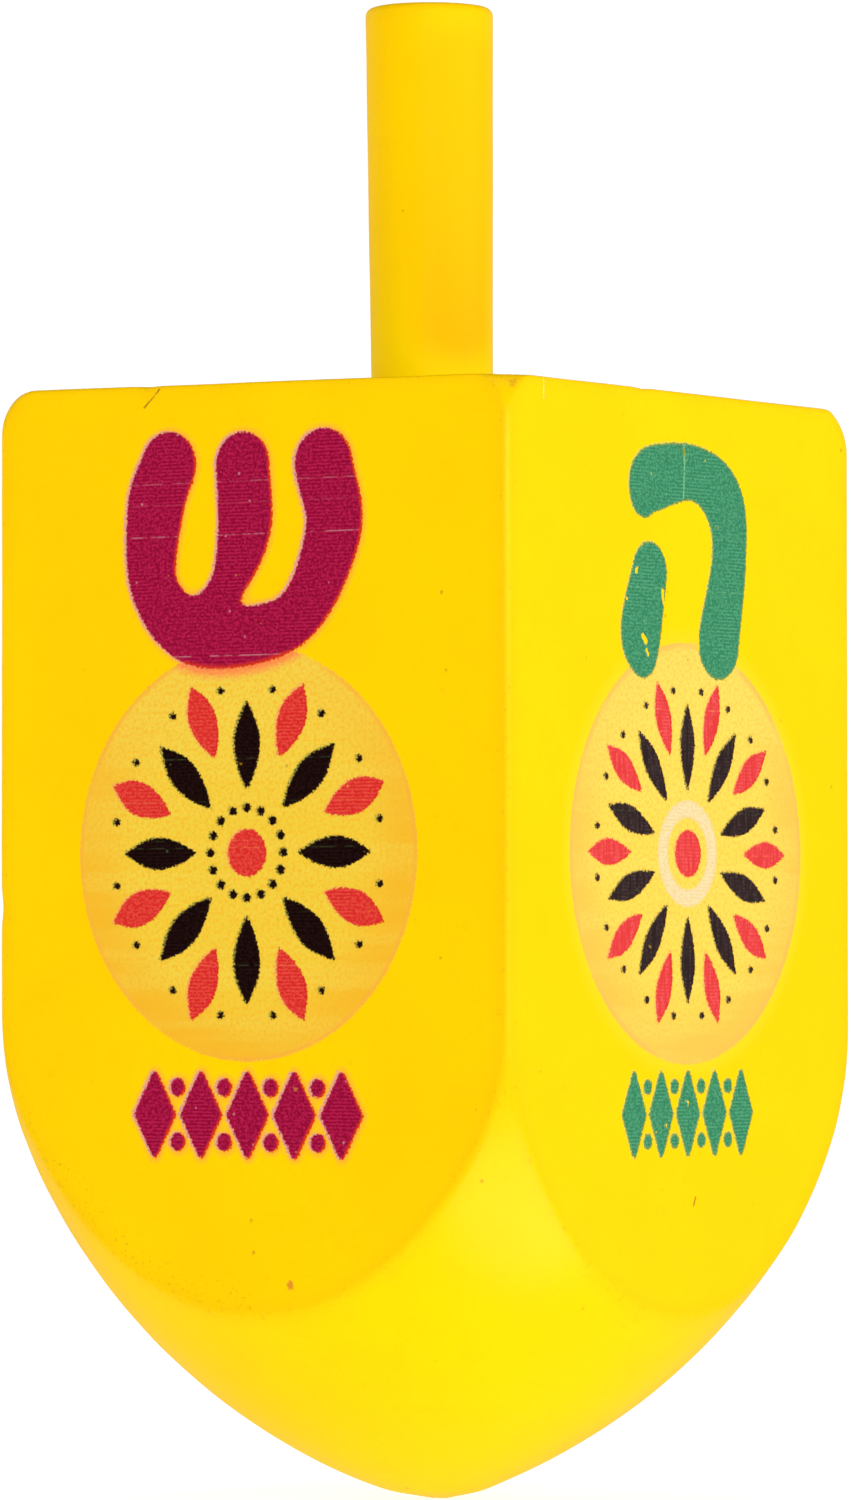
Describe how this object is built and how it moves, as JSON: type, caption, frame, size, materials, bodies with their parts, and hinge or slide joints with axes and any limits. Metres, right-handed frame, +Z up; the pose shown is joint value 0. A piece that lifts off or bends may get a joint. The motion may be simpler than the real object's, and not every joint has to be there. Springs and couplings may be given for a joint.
{
  "type": "dreidel",
  "caption": "Painted wooden four-sided spinning top with a turned blunt point, flat printed sides and a glued dowel stem to twist it by.",
  "frame": {"origin": "the spinning tip, on the axis", "axes": "+Z up the axis from the tip to the stem's end; the four flats face -Y, +X, +Y and -X, and -Y is the front"},
  "size_m": [0.03, 0.03, 0.0732],
  "materials": {
    "yellow_paint": "opaque satin yellow paint over close-grained turned wood",
    "wood_glue": "cured wood glue, pale amber",
    "magenta_ink": "matte printed ink with a fine raster",
    "green_ink": "matte printed ink with a fine raster",
    "pale_ink": "pale printed ground under the ornament",
    "black_ink": "matte printed ink",
    "red_ink": "matte printed ink"
  },
  "bodies": {
    "root": {"body": "yellow_paint", "stem": "yellow_paint", "stem_glue": "wood_glue"}
  },
  "joints": []
}
